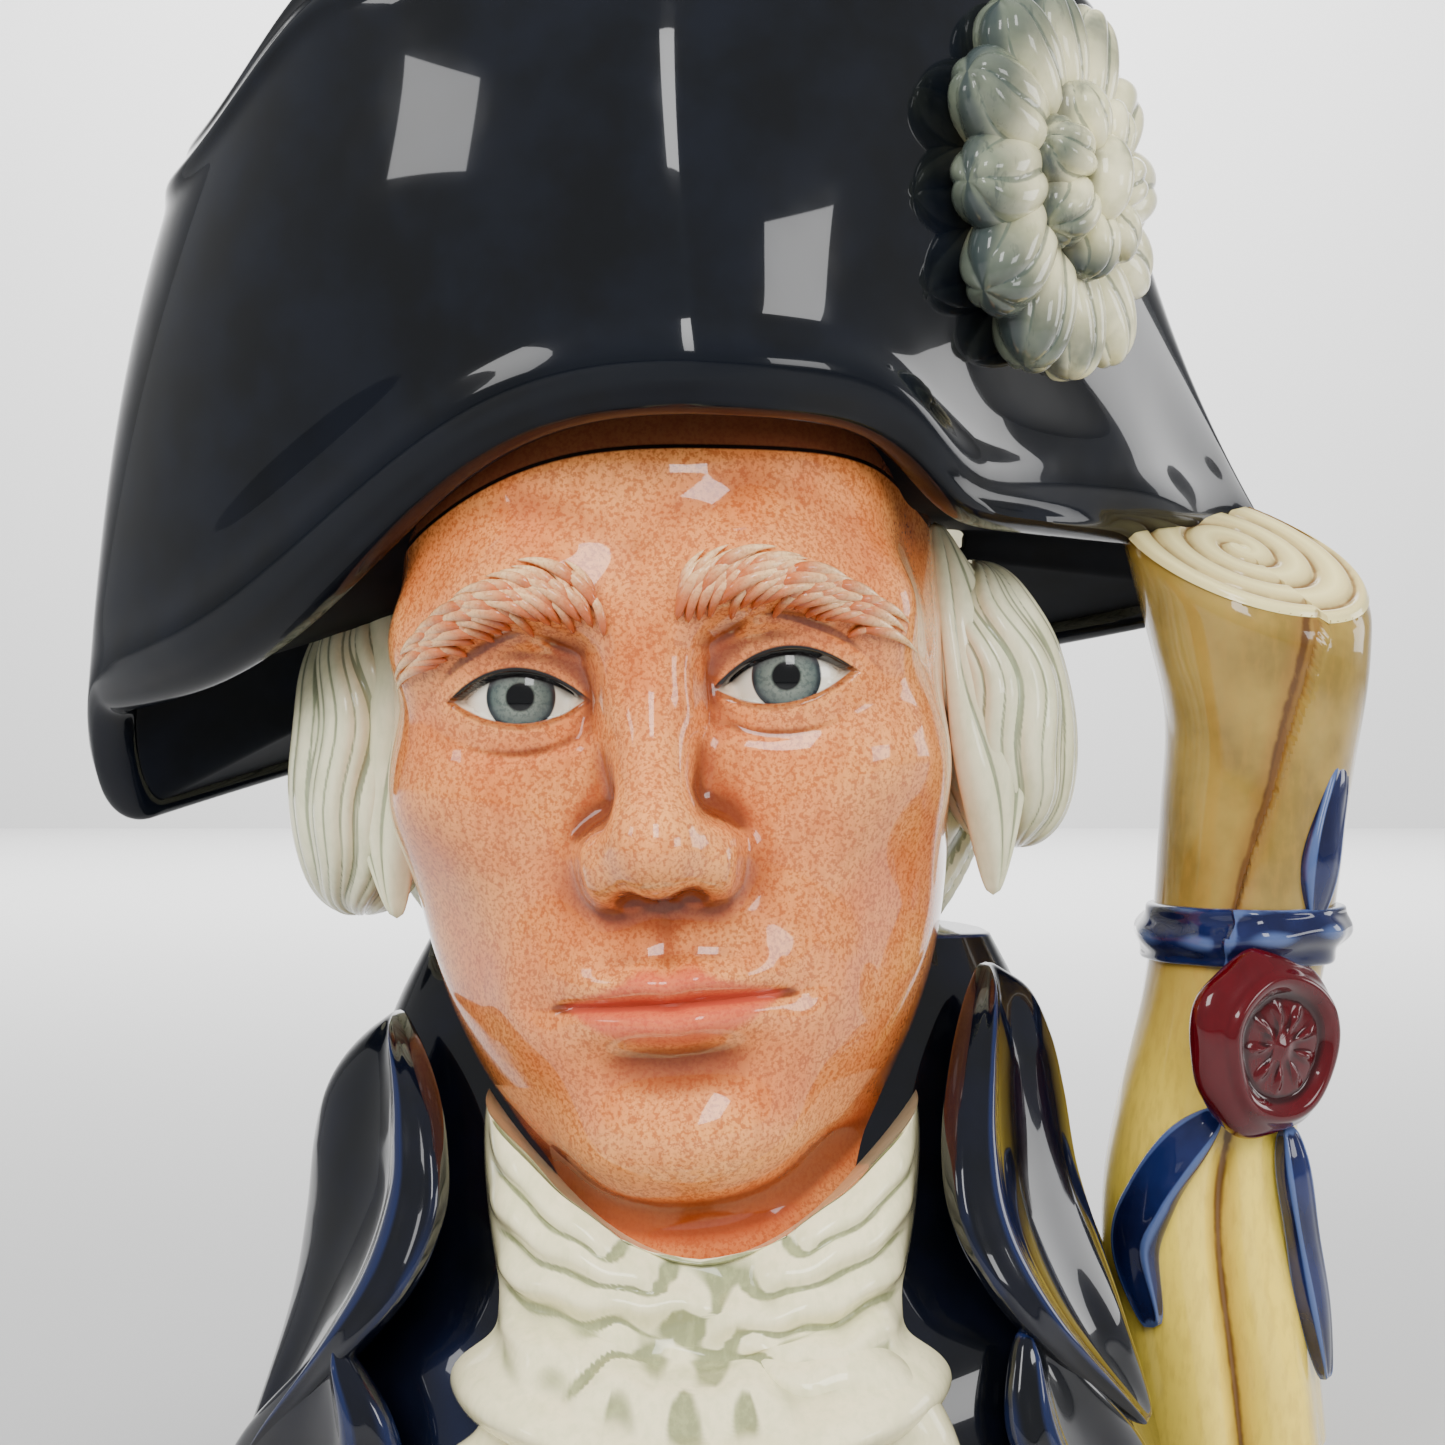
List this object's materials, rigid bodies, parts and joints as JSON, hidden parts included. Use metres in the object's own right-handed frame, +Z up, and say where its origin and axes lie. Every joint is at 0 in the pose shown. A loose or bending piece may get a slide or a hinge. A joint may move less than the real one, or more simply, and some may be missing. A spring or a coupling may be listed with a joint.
{
  "type": "character jug",
  "caption": "Glazed earthenware jug in the form of a bust in a cocked hat with a rosette, open at the hat's top, with a rolled, sealed scroll as its handle.",
  "frame": {"origin": "middle of the flat foot under the coat, on the table", "axes": "+Z up from the foot to the hat's rim, +X from the bust's middle towards the scroll handle, -Y the way the face looks"},
  "size_m": [0.1708, 0.1181, 0.1916],
  "materials": {
    "glaze": "glossy clear glaze over painted earthenware"
  },
  "bodies": {
    "root": {"jug": "glaze"}
  },
  "joints": []
}
